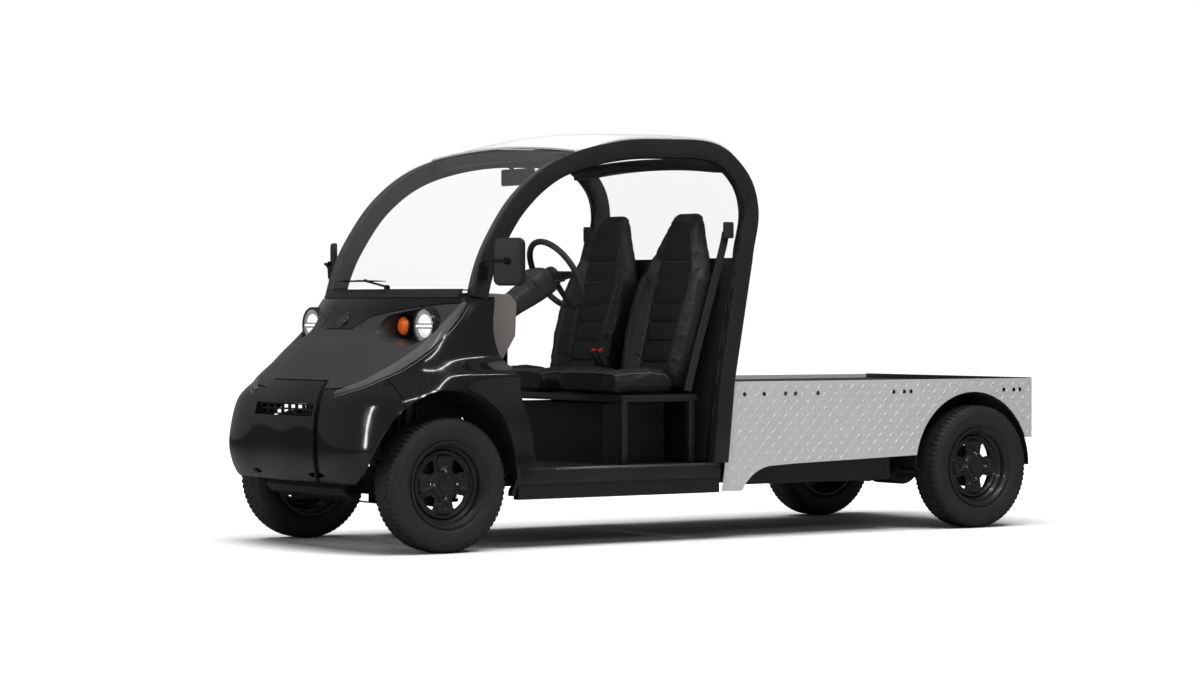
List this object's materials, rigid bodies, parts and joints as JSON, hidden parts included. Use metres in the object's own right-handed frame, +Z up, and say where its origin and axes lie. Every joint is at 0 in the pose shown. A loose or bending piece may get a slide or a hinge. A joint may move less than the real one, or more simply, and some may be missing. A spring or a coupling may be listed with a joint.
{
  "type": "electric utility truck",
  "caption": "Open-cab electric utility truck with curved side hoops, moulded nose, bucket seats and a flat load bed with tread-plate sides.",
  "frame": {"origin": "on the ground under the middle of the overall length and width", "axes": "+X forward, +Y to the left, +Z up"},
  "size_m": [3.6834, 1.6, 1.7964],
  "materials": {
    "gloss_black_body": "gloss",
    "satin_grey_body": "satin",
    "black_plastic": "moulded grain",
    "brown_grey_plastic": "moulded grain",
    "dark_plastic": "moulded grain",
    "black_frame_metal": "satin powder coat",
    "grey_aluminium": "anodised satin",
    "tread_plate": "bright tread plate",
    "clear_glass": "clear",
    "white_roof": "white gloss",
    "black_vinyl": "stitched vinyl",
    "lamp_glass": "clear lens over bright bowl",
    "amber_lens": "ribbed lens",
    "red_lens": "ribbed lens",
    "wheel_steel": "satin black",
    "tyre_rubber": "rubber"
  },
  "bodies": {
    "truck": {"arch_liners": "black_plastic", "back_wall": "black_plastic", "battery_box": "black_frame_metal", "bed_deck": "black_frame_metal", "bed_rear_panel": "black_frame_metal", "bed_sides": "tread_plate", "brow_panel": "gloss_black_body", "chassis_frame": "black_frame_metal", "cowl_top": "black_plastic", "dashboard": "brown_grey_plastic", "door_sills": "grey_aluminium", "floor_pan": "black_frame_metal", "front_bumper": "gloss_black_body", "front_grille": "black_plastic", "front_suspension": "black_frame_metal", "front_valance": "black_plastic", "headlamps": "lamp_glass", "hood": "satin_grey_body", "indicator_lamps": "amber_lens", "interior_mirror": "black_plastic", "left_fender": "gloss_black_body", "pedals": "black_plastic", "rear_axle": "black_frame_metal", "rear_window": "clear_glass", "right_fender": "gloss_black_body", "roof_crossbars": "black_frame_metal", "roof_panel": "white_roof", "seat_backs": "black_vinyl", "seat_belts": "black_plastic", "seat_box": "black_plastic", "seat_cushions": "black_vinyl", "seat_frame": "black_frame_metal", "side_hoops": "black_frame_metal", "side_mirrors": "black_plastic", "sill_skirts": "black_plastic", "steering_column": "dark_plastic", "tail_lamps": "red_lens", "windshield": "clear_glass", "wiper": "black_plastic"},
    "steering": {"steering_wheel": "dark_plastic"},
    "left_knuckle": {"left_knuckle": "black_frame_metal"},
    "right_knuckle": {"right_knuckle": "black_frame_metal"},
    "tie_rod": {"tie_rod": "black_frame_metal"},
    "front_left_road_wheel": {"front_left_wheel": "wheel_steel", "front_left_tyre": "tyre_rubber"},
    "front_right_road_wheel": {"front_right_wheel": "wheel_steel", "front_right_tyre": "tyre_rubber"},
    "rear_left_road_wheel": {"rear_left_wheel": "wheel_steel", "rear_left_tyre": "tyre_rubber"},
    "rear_right_road_wheel": {"rear_right_wheel": "wheel_steel", "rear_right_tyre": "tyre_rubber"}
  },
  "joints": [
    {"name": "steering_wheel_turn", "type": "hinge", "parent": "truck", "child": "steering", "pos_m": [0.632, 0.287, 1.165], "axis": [-0.866, 0, 0.5], "range_deg": [-540, 540]},
    {"name": "left_steer", "type": "hinge", "parent": "truck", "child": "left_knuckle", "pos_m": [1.4015, 0.4705, 0.284], "axis": [0, 0, 1], "range_deg": [-27, 27]},
    {"name": "right_steer", "type": "hinge", "parent": "truck", "child": "right_knuckle", "pos_m": [1.4015, -0.4705, 0.284], "axis": [0, 0, 1], "range_deg": [-27, 27]},
    {"name": "tie_rod_pivot", "type": "hinge", "parent": "left_knuckle", "child": "tie_rod", "pos_m": [1.2715, 0.4705, 0.211], "axis": [0, 0, 1], "range_deg": [-27, 27]},
    {"name": "front_left_spin", "type": "hinge", "parent": "left_knuckle", "child": "front_left_road_wheel", "pos_m": [1.4015, 0.5725, 0.284], "axis": [0, 1, 0], "continuous": true},
    {"name": "front_right_spin", "type": "hinge", "parent": "right_knuckle", "child": "front_right_road_wheel", "pos_m": [1.4015, -0.5725, 0.284], "axis": [0, 1, 0], "continuous": true},
    {"name": "rear_left_spin", "type": "hinge", "parent": "truck", "child": "rear_left_road_wheel", "pos_m": [-1.4945, 0.5725, 0.284], "axis": [0, 1, 0], "continuous": true},
    {"name": "rear_right_spin", "type": "hinge", "parent": "truck", "child": "rear_right_road_wheel", "pos_m": [-1.4945, -0.5725, 0.284], "axis": [0, 1, 0], "continuous": true}
  ],
  "couplings": [
    {"joint": "left_steer", "follows": "steering_wheel_turn", "ratio": 0.05},
    {"joint": "right_steer", "follows": "steering_wheel_turn", "ratio": 0.05},
    {"joint": "tie_rod_pivot", "follows": "steering_wheel_turn", "ratio": -0.05}
  ]
}
